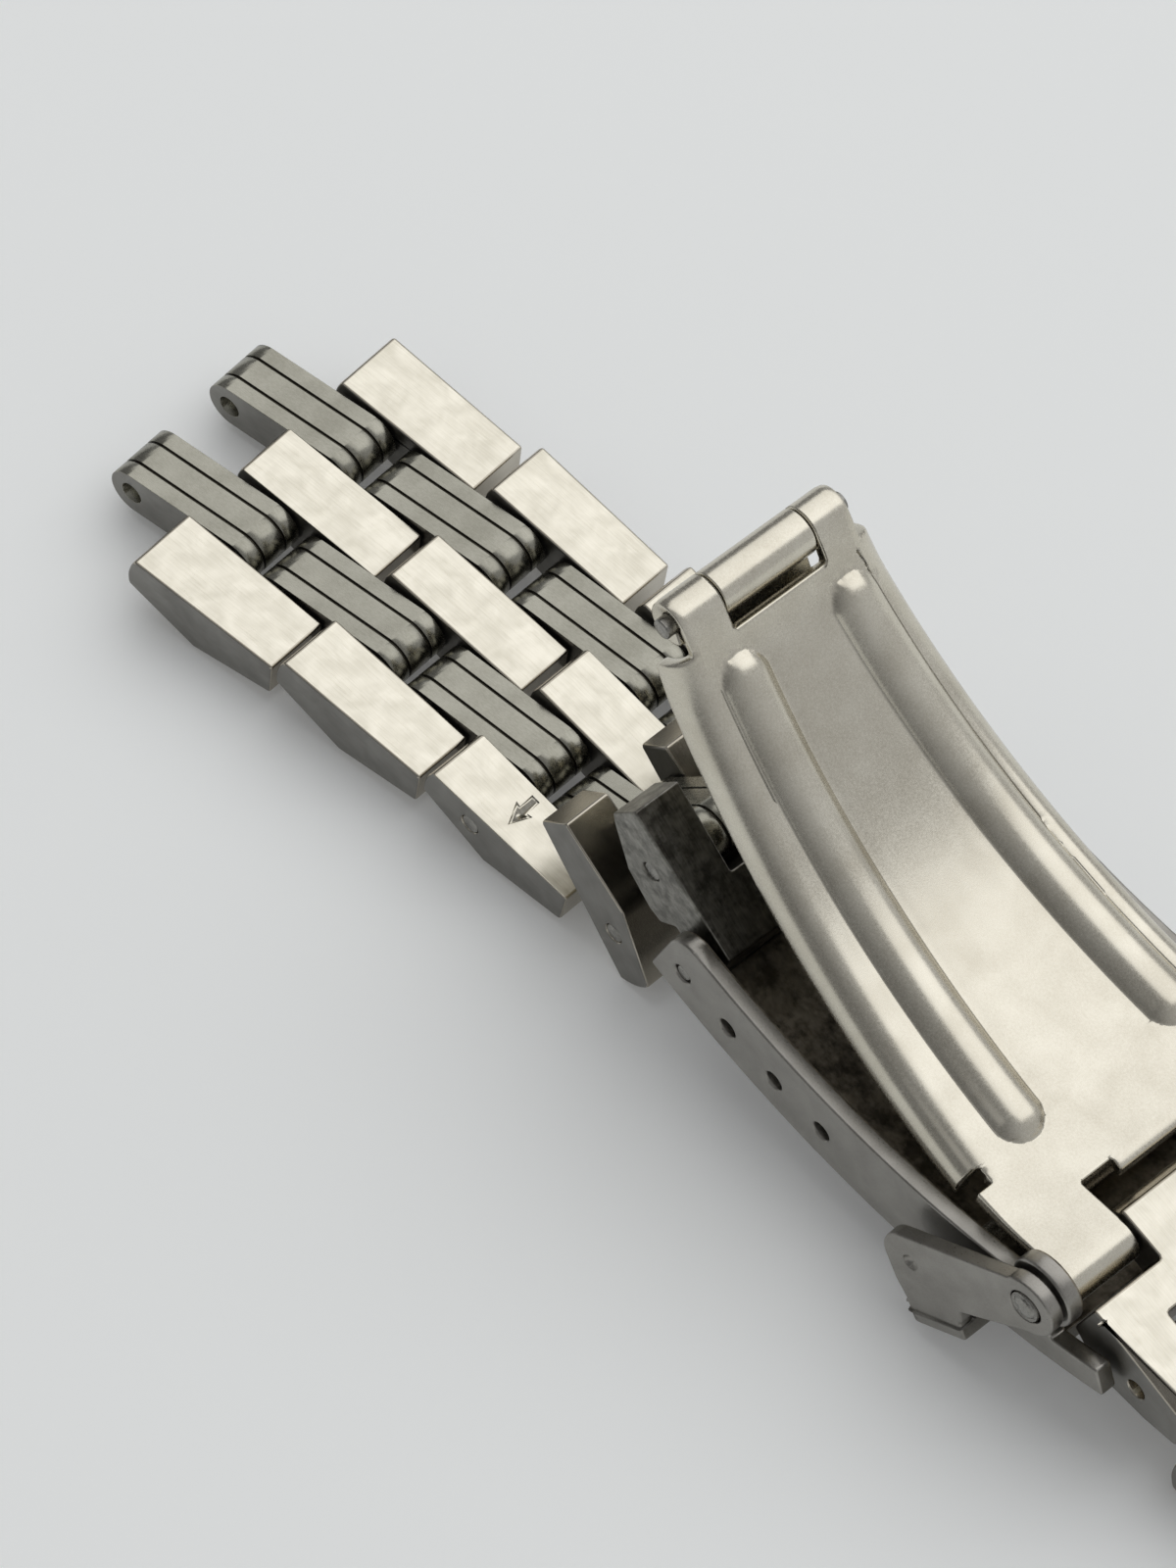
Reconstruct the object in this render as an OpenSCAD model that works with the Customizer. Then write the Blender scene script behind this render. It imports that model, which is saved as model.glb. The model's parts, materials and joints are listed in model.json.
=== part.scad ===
// Steel watch bracelet with a folding clasp, laid open on its outer side.
// Millimetres. +Z is the side that faces the wrist. The origin is the middle of the free end
// bore of half A, +Y runs along that bore and +X runs along the band towards the clasp.
// Every link is drawn in its own frame (u along the band, w towards the wrist, origin at its
// left pin) and is then placed by walking along the chain from pin to pin.

/* [Band] */
// Width of the band over the outer links of the first row
band_w = 18; // [17:0.5:20]
// How much each side of a row is narrower than the same side of the row before it
row_step = 0.29; // [0.2:0.01:0.32]
// How much each side of a link narrows along its own length
link_taper = 0.3; // [0:0.05:0.4]
// Width of the centre column of links
centre_w = 3.26; // [2.8:0.02:3.4]
// Width of an intermediate link
inter_w = 3.26; // [2.8:0.02:3.4]
// Side gap between neighbouring columns
side_gap = 0.16; // [0.1:0.01:0.2]

/* [Row links] */
// Distance between the two pins of a row link
pin_span = 3.08; // [3:0.02:3.4]
// Height of the flat skin face above the pins
skin_h = 1.4; // [1.2:0.05:1.7]
// Depth of the ridge on the outer face below the pins
ridge_h = 1.9; // [1.6:0.05:2.1]
// Place of that ridge, from the left pin
ridge_u = 1.24; // [1:0.02:1.6]
// Radius of the round nose about the left pin
nose_r = 2.95; // [2.6:0.05:3]
// Depth of the outer face at the nose, below the pins
nose_h = 0.66; // [0.5:0.02:0.9]
// Length of the blunt end beyond the right pin
blunt_len = 2.9; // [2.5:0.05:3]
// Depth of the blunt end below the pins
blunt_h = 0.79; // [0.6:0.01:1]

/* [Intermediate links] */
// Distance between the two holes of an intermediate link
inter_span = 6.5; // [6.4:0.05:7]
// Radius of its round ends
inter_r = 1.3; // [1.2:0.05:1.3]
// Width of each groove that runs round it
groove_w = 0.14; // [0.1:0.01:0.2]
// Depth of each groove
groove_d = 0.15; // [0.1:0.01:0.25]

/* [Pins] */
// Diameter of the link pins
pin_d = 1; // [0.8:0.05:1.1]
// Radial fit of a pin in the row links that hold it
pin_fit = 0.01; // [0.01:0.005:0.02]
// Radial play of a pin in the intermediate links that turn on it
pin_play = 0.1; // [0.05:0.01:0.12]
// Steel left outside the end of a blind pin
blind_wall = 1.1; // [0.6:0.1:1.6]

/* [End links] */
// Length of the end link of half A from its left end to its pin
end_nose = 3.2; // [2.9:0.1:3.6]
// Distance from that pin to the spring bar, along the link
end_bar_u = 4.63; // [4.4:0.01:5]
// Height of the spring bar above that pin
end_bar_w = 0.13; // [0:0.01:0.3]
// Height of the flat skin face of an end link above its pin
end_skin_h = 2.1; // [1.9:0.05:2.4]
// Depth of an end link below its pin
end_hump_h = 2.4; // [2:0.05:2.6]
// Radius of the end of the link round the spring bar
end_bar_r = 1.1; // [1:0.05:1.3]
// Length of the slots beyond the pin that the intermediate links turn in
slot_reach = 1.6; // [1.5:0.05:1.8]

/* [Spring bar] */
// Outer diameter of the tube
bar_tube_d = 1.3; // [1.2:0.05:1.4]
// Diameter of the sprung tips
bar_tip_d = 0.8; // [0.6:0.05:0.9]
// Wall of the tube
bar_wall = 0.15; // [0.12:0.01:0.2]
// Radial play of the tube in the end link
bar_play = 0.03; // [0.02:0.01:0.06]
// How far each tip can be pushed in
tip_travel = 0.8; // [0.6:0.05:0.9]

/* [Clasp cover] */
// Radius of the curved outer face of the cover
cover_r = 42; // [38:0.5:48]
// Thickness of the cover's floor
cover_floor = 0.8; // [0.6:0.05:1]
// Thickness of its side walls
cover_wall = 0.9; // [0.7:0.05:1.1]
// Height of its side walls over the outer face
wall_h = 4.6; // [4.2:0.1:5]
// Height of the low wall at the end where the clasp opens
low_wall_h = 1.6; // [1.3:0.1:2]
// Room on each side between the end link and the walls
cover_side_gap = 0.26; // [0.2:0.02:0.4]
// Diameter of the adjusting holes
adjust_d = 1; // [0.9:0.05:1.1]
// Number of adjusting holes in each wall
adjust_count = 4; // [3:1:5]
// Distance between the adjusting holes
adjust_pitch = 3.17; // [2.8:0.05:3.3]
// Depth of the adjusting holes and hinge line from the outer face
adjust_depth = 2; // [1.8:0.05:2.3]
// Length along the floor from the lowest point to the first adjusting hole
cover_to_hole = 14.8; // [14.4:0.1:15.5]
// Length along the floor from that hole to the end of the cover
cover_end_a = 1.5; // [1.3:0.1:2]
// Length along the floor from the lowest point to its cut-out for the end link of half B
floor_end_b = 10.3; // [9.8:0.1:10.6]
// Length along the floor from the lowest point to the tips of the low walls
cover_end_b = 13.75; // [13:0.25:15]

/* [Catch] */
// Length along the wall from the lowest point to the catch rivets
catch_along = 9.5; // [9.2:0.1:10]
// Thickness of the catch's sheet
catch_t = 0.8; // [0.6:0.05:0.9]
// Gap between a wall and the catch's arm
catch_gap = 0.22; // [0.18:0.02:0.4]
// Length of an arm from the rivet to its tip
arm_len = 9.2; // [8.8:0.1:9.6]
// Angle at which the arms lie below the X axis
arm_angle = 29.8; // [28:0.2:31]
// Angle by which each arm spreads outwards
arm_splay = 4; // [0:0.5:5]
// Radius of the rounded tip and of the arm at the rivet
arm_r = 1.5; // [1.3:0.05:1.7]
// Diameter of the catch rivets
rivet_d = 1.6; // [1.2:0.1:1.8]

/* [Blades] */
// Thickness of the blades' sheet
blade_t = 0.8; // [0.6:0.05:0.9]
// Distance between the pins of the blade under the other
blade1_len = 30.5; // [30:0.1:31]
// Distance between the pins of the upper blade
blade2_len = 33.16; // [33:0.1:34]
// How far each blade bows away from the line between its pins
blade_sag = 3.9; // [3.5:0.1:4.2]
// Half the width of the lower blade
blade1_half = 4.4; // [4:0.1:4.6]
// Half the width of the upper blade at its folding hinge
blade2_half = 5.7; // [5.5:0.1:6]
// Depth of the upper blade's turned down sides
flange_h = 1.9; // [1.4:0.1:2]
// Height of the two long ribs pressed into the upper blade
rib_h = 0.45; // [0.3:0.05:0.6]
// Width of those ribs
rib_w = 2.4; // [2:0.1:2.8]
// Diameter of the hinge pins in the clasp
hinge_d = 1; // [0.8:0.05:1.1]
// Outer radius of the curled knuckles
knuckle_r = 1.15; // [1.1:0.01:1.2]
// Radial play in the curled knuckles
knuckle_play = 0.03; // [0.02:0.005:0.05]
// Side clearance between neighbouring knuckles
knuckle_gap = 0.1; // [0.05:0.01:0.15]

/* [Hidden] */
$fn = 64;

// Columns of the band, from the middle outwards
centre_half = centre_w / 2;
inter_in = centre_half + side_gap;
inter_out = inter_in + inter_w;
outer_in = inter_out + side_gap;
function row_half(k) = band_w / 2 - row_step * (k - 1);

// How the band lies: the pitch of each piece of half A, its right end up being positive, and the
// sideways turn that the play in the pins lets each joint take
pitch_a = [3, -5.9, 4.9, -8, 3.3, -12, 10.4, 131.4, 47.3, -41.5];
turn_step = -0.8167;
function is_row(i) = i % 2 == 1;
function turn_a(i) = turn_step * i;
function dir(turn, pitch) = [cos(pitch) * cos(turn), cos(pitch) * sin(turn), sin(pitch)];
function up(turn, pitch) = [-sin(pitch) * cos(turn), -sin(pitch) * sin(turn), cos(pitch)];
function pin_a(i) = i == 0 ? [0, 0, 0]
    : pin_a(i - 1) + dir(turn_a(i - 1), pitch_a[i - 1]) * (is_row(i - 1) ? pin_span : inter_span);
bar_at = pin_a(9) + dir(turn_a(9), pitch_a[9]) * end_bar_u + up(turn_a(9), pitch_a[9]) * end_bar_w;
cover_turn = turn_a(9);

// The clasp is drawn in the frame of the spring bar, [x, z] along the cover and upwards
cover_in = row_half(5) + cover_side_gap;
cover_half = cover_in + cover_wall;
hole_r = cover_r - adjust_depth;
hole_angle = cover_to_hole / cover_r * 180 / PI;
arc_at = [hole_r * sin(hole_angle), hole_r * cos(hole_angle)];
function on_cover(angle, r) = [arc_at[0] + r * sin(angle), arc_at[1] - r * cos(angle)];
function cover_deg(len) = len / cover_r * 180 / PI;
rivet_at = on_cover(cover_deg(catch_along + 1.2), cover_r - wall_h);
hinge_a_at = on_cover(6.3, cover_r - adjust_depth - 0.2);
fold_deg = -38.4;
blade2_deg = -29.54;
hinge_c_at = hinge_a_at - blade1_len * [cos(fold_deg), sin(fold_deg)];
hinge_b_at = hinge_c_at + blade2_len * [cos(blade2_deg), sin(blade2_deg)];
blade2_end_half = cover_in - 0.2;
knuckle_line = 10;
mid_knuckle = [-2.5, 2.9];
tongue_in = 4;

// Half B hangs on hinge b and runs down to the surface
end_b_u = 5.54;
end_b_w = -0.87;
pitch_b = [-16.6, -30.8, 6, -4, 4, -3];
turn_b = [0, 0.5, 1, 1.2, 1.4, 1.6];
function pin_b(i) = i == 0 ? [hinge_b_at[0], 0, hinge_b_at[1]]
    : i == 1 ? pin_b(0) + dir(turn_b[0], pitch_b[0]) * end_b_u + up(turn_b[0], pitch_b[0]) * end_b_w
    : pin_b(i - 1) + dir(turn_b[i - 1], pitch_b[i - 1]) * (is_row(i) ? pin_span : inter_span);

// Helpers
module place(at, turn, pitch) {
    translate(at) rotate([0, 0, turn]) rotate([0, -pitch, 0]) children();
}
module on_a(i) {
    place(pin_a(i), turn_a(i), pitch_a[i]) children();
}
module in_clasp() {
    translate(bar_at) rotate([0, 0, cover_turn]) children();
}
module on_b(i) {
    in_clasp() place(pin_b(i), turn_b[i], pitch_b[i]) children();
}
// A plate whose outline lies in the u, w plane, between two places across the band
module plate(y0, y1) {
    translate([0, y1, 0]) rotate([90, 0, 0]) linear_extrude(y1 - y0) children();
}
module bar(y0, y1, d, u = 0, w = 0) {
    translate([u, y1, w]) rotate([90, 0, 0]) cylinder(d = d, h = y1 - y0);
}
module both_sides() {
    children();
    mirror([0, 1, 0]) children();
}

// Row links
module row_profile() {
    intersection() {
        polygon([[-nose_r, skin_h], [pin_span + blunt_len, skin_h], [pin_span + blunt_len, -blunt_h],
            [ridge_u, -ridge_h], [-nose_r, -nose_h]]);
        union() {
            circle(r = nose_r);
            translate([0, -nose_r]) square([pin_span + blunt_len + 1, 2 * nose_r]);
        }
    }
}
// Plan of one outer link, narrowing towards its right end
module outer_plan(half, left, right) {
    linear_extrude(8, center = true)
        polygon([[-left - 1, outer_in], [right + 1, outer_in], [right + 1, half - link_taper],
            [right, half - link_taper], [-left, half], [-left - 1, half]]);
}
function half_at(half, u) = half - link_taper * (u + nose_r) / (nose_r + pin_span + blunt_len);
module row_bores(half, open) {
    reach = half - blind_wall;
    bar(open ? -half - 1 : -reach - 0.05, reach + 0.05, pin_d + 2 * pin_fit);
    bar(-reach - 0.05, reach + 0.05, pin_d + 2 * pin_fit, pin_span);
}
module row_outer(half, open) {
    difference() {
        both_sides() intersection() {
            plate(outer_in, half) row_profile();
            outer_plan(half, nose_r, pin_span + blunt_len);
        }
        row_bores(half, open);
    }
}
module row_centre() {
    difference() {
        plate(-centre_half, centre_half) row_profile();
        row_bores(outer_in, false);
    }
}
module row_pins(half, open) {
    reach = half - blind_wall;
    bar(open ? 0.03 - half_at(half, pin_d / 2) : -reach, reach, pin_d);
    bar(-reach, reach, pin_d, pin_span);
}

// Intermediate links
module stadium(r) {
    circle(r = r);
    translate([inter_span, 0]) circle(r = r);
    translate([0, -r]) square([inter_span, 2 * r]);
}
module inter_pair() {
    both_sides() difference() {
        plate(inter_in, inter_out) stadium(inter_r);
        for (f = [0.28, 0.72]) difference() {
            mid = inter_in + f * inter_w;
            plate(mid - groove_w / 2, mid + groove_w / 2) square(40, center = true);
            plate(mid - groove_w, mid + groove_w) stadium(inter_r - groove_d);
        }
        bar(0, inter_out + 1, pin_d + 2 * pin_play);
        bar(0, inter_out + 1, pin_d + 2 * pin_play, inter_span);
    }
}

// End link of half A
end_half = row_half(5);
end_right = end_bar_u + end_bar_r;
module end_a_profile() {
    polygon([[-end_nose, end_skin_h], [end_bar_u + 0.3, end_skin_h], [end_right - 0.1, end_bar_w + 0.5],
        [end_bar_u, end_bar_w - end_bar_r + 0.02], [end_bar_u - cover_end_a - 0.1, end_bar_w - end_bar_r + 0.1],
        [end_bar_u - cover_end_a - 0.4, 0.2 - end_hump_h], [end_bar_u - 2.7, -end_hump_h],
        [-0.2, -end_hump_h + 0.35], [0.5 - end_nose, -0.5],
        [-end_nose, -0.1]]);
}
module end_plan(half, left, right) {
    linear_extrude(8, center = true)
        polygon([[-left - 1, -half], [-left, -half], [right, link_taper - half], [right + 1, link_taper - half],
            [right + 1, half - link_taper], [right, half - link_taper], [-left, half], [-left - 1, half]]);
}
// Slots that the intermediate links turn in, open at one end
module end_slots(u0, u1) {
    both_sides() translate([u0, inter_in - side_gap, -4]) cube([u1 - u0, inter_w + 2 * side_gap, 8]);
}
end_a_reach = end_half - blind_wall;
module end_link_a() {
    color([0.36, 0.34, 0.32]) on_a(9) difference() {
        intersection() {
            union() {
                plate(-end_half, end_half) end_a_profile();
                bar(-end_half, end_half, 2 * end_bar_r, end_bar_u, end_bar_w);
            }
            end_plan(end_half, end_nose, end_right);
        }
        end_slots(-end_nose - 1, slot_reach);
        bar(-end_half - 1, end_a_reach + 0.05, pin_d + 2 * pin_fit);
        bar(-end_half - 1, end_half + 1, bar_tube_d + 2 * bar_play, end_bar_u, end_bar_w);
    }
}
module end_link_a_pin() {
    color([0.6, 0.6, 0.6]) on_a(9) bar(0.08 - half_at(end_half, pin_d / 2), end_a_reach, pin_d);
}

// Spring bar
tube_half = end_half - link_taper - 0.02;
tube_bore = bar_tube_d - 2 * bar_wall;
tip_root = 2.4;
module spring_bar_tube() {
    color([0.62, 0.62, 0.6]) in_clasp() difference() {
        bar(-tube_half, tube_half, bar_tube_d);
        bar(-tube_half - 1, tube_half + 1, tube_bore);
    }
}
module spring_bar_tip() {
    bar(tube_half - tip_root, cover_half - 0.1, bar_tip_d);
    bar(tube_half - tip_root, tube_half - tip_travel - 0.1, tube_bore - 0.04);
}
module spring_bar_tip_near() {
    color([0.7, 0.7, 0.68]) in_clasp() mirror([0, 1, 0]) spring_bar_tip();
}
module spring_bar_tip_far() {
    color([0.7, 0.7, 0.68]) in_clasp() spring_bar_tip();
}
spring_half = tube_half - tip_root - tip_travel - 0.05;
module spring_bar_spring() {
    color([0.55, 0.55, 0.55]) in_clasp() difference() {
        bar(-spring_half, spring_half, tube_bore - 0.06);
        bar(-spring_half - 1, spring_half + 1, tube_bore - 0.46);
    }
}

// Clasp cover: a curved floor with a wall on each side, bent up from one sheet. The walls run down
// to the outer face and are drawn apart from the floor, so that the channel stays open in collision.
module ring(r0, r1, y0, y1) {
    translate([arc_at[0], y1, arc_at[1]]) rotate([90, 0, 0]) difference() {
        cylinder(r = r1, h = y1 - y0, $fn = 180);
        translate([0, 0, -1]) cylinder(r = r0, h = y1 - y0 + 2, $fn = 180);
    }
}
// The sector of the cover between two angles from its lowest point
module sector(d0, d1) {
    translate([arc_at[0], 20, arc_at[1]]) rotate([90, 0, 0]) linear_extrude(40)
        polygon([[0, 0], [60 * sin(d0), -60 * cos(d0)], [60 * sin((d0 + d1) / 2), -60 * cos((d0 + d1) / 2)],
            [60 * sin(d1), -60 * cos(d1)]]);
}
end_a_deg = -hole_angle - cover_deg(cover_end_a);
end_b_deg = cover_deg(cover_end_b);
low_deg = cover_deg(catch_along + 1.2);
module clasp_cover() {
    color([0.5, 0.48, 0.45]) in_clasp() intersection() {
        ring(cover_r - cover_floor, cover_r, -cover_in, cover_in);
        sector(end_a_deg, cover_deg(floor_end_b));
    }
}
module clasp_cover_walls() {
    color([0.55, 0.53, 0.5]) in_clasp() difference() {
        union() {
            both_sides() intersection() {
                ring(cover_r - wall_h, cover_r, cover_in, cover_half);
                sector(end_a_deg, low_deg);
            }
            both_sides() intersection() {
                ring(cover_r - low_wall_h, cover_r, cover_in, cover_half);
                sector(low_deg - 0.1, end_b_deg);
            }
            both_sides() bar(cover_in, cover_half, 2 * arm_r + 0.6, rivet_at[0], rivet_at[1]);
        }
        for (i = [0 : adjust_count - 1]) {
            at = on_cover(-hole_angle + i * adjust_pitch / hole_r * 180 / PI, hole_r);
            bar(-cover_half - 1, cover_half + 1, adjust_d, at[0], at[1]);
        }
        bar(-cover_half - 1, cover_half + 1, rivet_d + 0.02, rivet_at[0], rivet_at[1]);
        bar(-cover_half - 1, cover_half + 1, hinge_d + 0.02, hinge_a_at[0], hinge_a_at[1]);
    }
}
module hinge_pin_a() {
    color([0.6, 0.6, 0.6]) in_clasp()
        bar(0.04 - cover_half, cover_half - 0.04, hinge_d, hinge_a_at[0], hinge_a_at[1]);
}

// Catch: two arms on the rivets, joined by a plate that runs under the cover
catch_in = cover_half + catch_gap;
module arm_profile() {
    difference() {
        union() {
            circle(r = arm_r + 0.1);
            polygon([[0, arm_r], [arm_len - arm_r, arm_r], [arm_len, 0], [arm_len, -1.4], [8.9, -2.8], [5.4, -2.8],
                [5.2, -2.1], [0, -arm_r]]);
            translate([arm_len - arm_r, 0]) circle(r = arm_r);
        }
        circle(d = rivet_d + 0.16);
    }
}
module on_arm() {
    in_clasp() translate([rivet_at[0], 0, rivet_at[1]]) rotate([0, -arm_angle, 0]) mirror([1, 0, 0]) children();
}
plate_q = -3.1;
module catch() {
    color([0.6, 0.59, 0.57]) on_arm() {
        both_sides() translate([0, catch_in, 0]) rotate([0, 0, arm_splay])
            plate(0, catch_t) arm_profile();
        difference() {
            translate([5.6, -catch_in - 1.4, plate_q - catch_t]) cube([3.4, 2 * catch_in + 2.8, catch_t]);
            both_sides() translate([0, catch_in + catch_t, -6]) rotate([0, 0, arm_splay]) cube([12, 4, 6]);
        }
        both_sides() translate([0, catch_in, 0]) rotate([0, 0, arm_splay])
            translate([5.6, 0, plate_q - 0.1]) cube([3.4, catch_t, 0.6]);
    }
}
module catch_rivets() {
    color([0.75, 0.73, 0.7]) in_clasp() both_sides() {
        bar(cover_in + 0.02, catch_in + catch_t + 0.15, rivet_d, rivet_at[0], rivet_at[1]);
        bar(catch_in + catch_t + 0.1, catch_in + catch_t + 0.35, rivet_d + 0.6, rivet_at[0], rivet_at[1]);
    }
}

// Blades, each in the frame of its folding hinge with u along the line between its pins
function bow_r(len) = (len * len / 4 + blade_sag * blade_sag) / (2 * blade_sag);
sheet_off = 0.45;
module on_blade1() {
    in_clasp() place([hinge_c_at[0], 0, hinge_c_at[1]], 0, fold_deg) children();
}
module on_blade2() {
    in_clasp() place([hinge_c_at[0], 0, hinge_c_at[1]], 0, blade2_deg) children();
}
// Part of a bowed sheet: off is the height of its middle at both pins, from f to g towards the wrist
module bowed(len, off, f, g) {
    r = bow_r(len);
    translate([len / 2, 15, off + r - blade_sag]) rotate([90, 0, 0]) difference() {
        cylinder(r = r - f, h = 30, $fn = 180);
        translate([0, 0, -1]) cylinder(r = r - g, h = 32, $fn = 180);
    }
}
module knuckle(u, y0, y1) {
    bar(y0, y1, 2 * knuckle_r, u);
}
module blade_1() {
    y0 = mid_knuckle[0] + knuckle_gap / 2;
    y1 = mid_knuckle[1] - knuckle_gap / 2;
    color([0.55, 0.54, 0.52]) on_blade1() difference() {
        union() {
            intersection() {
                bowed(blade1_len, -sheet_off, -blade_t / 2, blade_t / 2);
                translate([0, 0, -12]) linear_extrude(24)
                    polygon([[0, y0], [2.2, y0], [3.4, -blade1_half], [blade1_len, -blade1_half],
                        [blade1_len, blade1_half], [3.4, blade1_half], [2.2, y1], [0, y1]]);
            }
            knuckle(0, y0, y1);
            knuckle(blade1_len, -blade1_half, blade1_half);
        }
        bar(-20, 20, hinge_d + 2 * knuckle_play);
        bar(-20, 20, hinge_d + 2 * knuckle_play, blade1_len);
    }
}
module hinge_pin_c() {
    color([0.62, 0.62, 0.6]) on_blade1() bar(-knuckle_line / 2 - 0.3, knuckle_line / 2 + 0.3, hinge_d);
}
plate_end = 27.2;
function blade2_side(u, inset) = blade2_half + (blade2_end_half - blade2_half) * u / plate_end - inset;
module blade2_outline(inset, u0, u1) {
    translate([0, 0, -12]) linear_extrude(24)
        polygon([[u0, -blade2_side(u0, inset)], [u1, -blade2_side(u1, inset)],
            [u1, blade2_side(u1, inset)], [u0, blade2_side(u0, inset)]]);
}
module rib() {
    intersection() {
        bowed(blade2_len, sheet_off, blade_t / 2 - 0.01, blade_t / 2 + rib_h);
        translate([0, 0, -12]) linear_extrude(24) translate([4, 3.2]) rotate(4) union() {
            circle(d = rib_w);
            translate([0, -rib_w / 2]) square([20.5, rib_w]);
            translate([20.5, 0]) circle(d = rib_w);
        }
    }
}
module blade_2() {
    color([0.66, 0.65, 0.63]) on_blade2() difference() {
        union() {
            difference() {
                intersection() {
                    bowed(blade2_len, sheet_off, blade_t / 2 - flange_h, blade_t / 2);
                    blade2_outline(0, 1.6, plate_end);
                }
                intersection() {
                    bowed(blade2_len, sheet_off, -flange_h - 1, -blade_t / 2);
                    blade2_outline(blade_t, 0, plate_end + 1);
                }
            }
            intersection() {
                bowed(blade2_len, sheet_off, -blade_t / 2, blade_t / 2);
                translate([0, 0, -12]) linear_extrude(24) {
                    translate([0, -knuckle_line / 2]) square([2, knuckle_line]);
                    for (s = [-1, 1]) polygon([[plate_end - 0.5, s * tongue_in],
                        [blade2_len, s * tongue_in], [blade2_len, s * blade2_end_half],
                        [plate_end + 0.9, s * blade2_end_half], [plate_end + 0.9, s * (blade2_end_half - 0.9)],
                        [plate_end - 0.5, s * (blade2_end_half - 0.9)]]);
                }
            }
            knuckle(0, -knuckle_line / 2, mid_knuckle[0]);
            knuckle(0, mid_knuckle[1], knuckle_line / 2);
            both_sides() knuckle(blade2_len, tongue_in, blade2_end_half);
            both_sides() rib();
        }
        translate([-2, mid_knuckle[0], -3])
            cube([2 + knuckle_r + 0.35, mid_knuckle[1] - mid_knuckle[0], 6]);
        bar(-20, 20, hinge_d + 2 * knuckle_play);
        bar(-20, 20, hinge_d + 2 * knuckle_play, blade2_len);
    }
}
module hinge_pin_b() {
    color([0.6, 0.6, 0.6]) on_blade2()
        bar(0.1 - blade2_end_half, blade2_end_half - 0.1, hinge_d, blade2_len);
}

// End link of half B, drawn from hinge b
b_nose = tongue_in - 0.2;
b_left = end_b_u - 3.7;
b_right = end_b_u + 2.9;
b_skin = end_b_w + 2.15;
module end_b_profile() {
    polygon([[b_left + 0.1, b_skin], [b_right, b_skin], [b_right, end_b_w - 0.7], [end_b_u + 1.2, end_b_w - 1.4],
        [end_b_u - 1, end_b_w - 1.9], [end_b_u - 2.7, end_b_w - 1.35], [b_left - 0.15, end_b_w - 0.68]]);
}
module end_link_b() {
    color([0.8, 0.79, 0.76]) on_b(0) difference() {
        union() {
            plate(-end_half, end_half) end_b_profile();
            plate(-b_nose, b_nose) {
                circle(r = 1.2);
                polygon([[-0.74, b_skin], [b_left + 1, b_skin], [b_left + 1, end_b_w - 0.5], [0.2, -1.18], [-0.74, 0]]);
            }
        }
        end_slots(end_b_u - slot_reach, b_right + 1);
        bar(-20, 20, hinge_d + 2 * knuckle_play);
        bar(-20, end_a_reach + 0.05, pin_d + 2 * pin_fit, end_b_u, end_b_w);
    }
}
module end_link_b_pin() {
    color([0.4, 0.4, 0.4]) on_b(0) bar(0.9 - end_half, end_a_reach, pin_d, end_b_u, end_b_w);
}

// Pieces of both halves, row by row
module outer_a(k) {
    color([0.8, 0.79, 0.76]) on_a(2 * k - 1) row_outer(row_half(k), k > 2);
}
module centre_a(k) {
    color([0.82, 0.81, 0.78]) on_a(2 * k - 1) row_centre();
}
module pins_a(k) {
    color([0.62, 0.62, 0.6]) on_a(2 * k - 1) row_pins(row_half(k), k > 2);
}
module inter_a(i) {
    color([0.68, 0.67, 0.64]) on_a(2 * i) inter_pair();
}
module outer_b(i) {
    color([0.8, 0.79, 0.76]) on_b(i) row_outer(row_half(5 - i / 2), false);
}
module centre_b(i) {
    color([0.82, 0.81, 0.78]) on_b(i) row_centre();
}
module pins_b(i) {
    color([0.62, 0.62, 0.6]) on_b(i) row_pins(row_half(5 - i / 2), false);
}
module inter_b(i) {
    color([0.68, 0.67, 0.64]) on_b(i) inter_pair();
}

inter_a(0);  // band_end_inter_a
outer_a(1);  // row1_outer
centre_a(1);  // row1_centre
pins_a(1);  // row1_pins
inter_a(1);  // inter_a1
outer_a(2);  // row2_outer
centre_a(2);  // row2_centre
pins_a(2);  // row2_pins
inter_a(2);  // inter_a2
outer_a(3);  // row3_outer
centre_a(3);  // row3_centre
pins_a(3);  // row3_pins
inter_a(3);  // inter_a3
outer_a(4);  // row4_outer
centre_a(4);  // row4_centre
pins_a(4);  // row4_pins
inter_a(4);  // inter_a4
end_link_a();
end_link_a_pin();
spring_bar_tube();
spring_bar_tip_near();
spring_bar_tip_far();
spring_bar_spring();
clasp_cover();
clasp_cover_walls();
hinge_pin_a();
catch();
catch_rivets();
blade_1();
hinge_pin_c();
blade_2();
hinge_pin_b();
end_link_b();
end_link_b_pin();
inter_b(1);  // inter_b1
outer_b(2);  // row_b2_outer
centre_b(2);  // row_b2_centre
pins_b(2);  // row_b2_pins
inter_b(3);  // inter_b2
outer_b(4);  // row_b3_outer
centre_b(4);  // row_b3_centre
pins_b(4);  // row_b3_pins
inter_b(5);  // band_end_inter_b
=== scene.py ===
import json
import math

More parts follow.
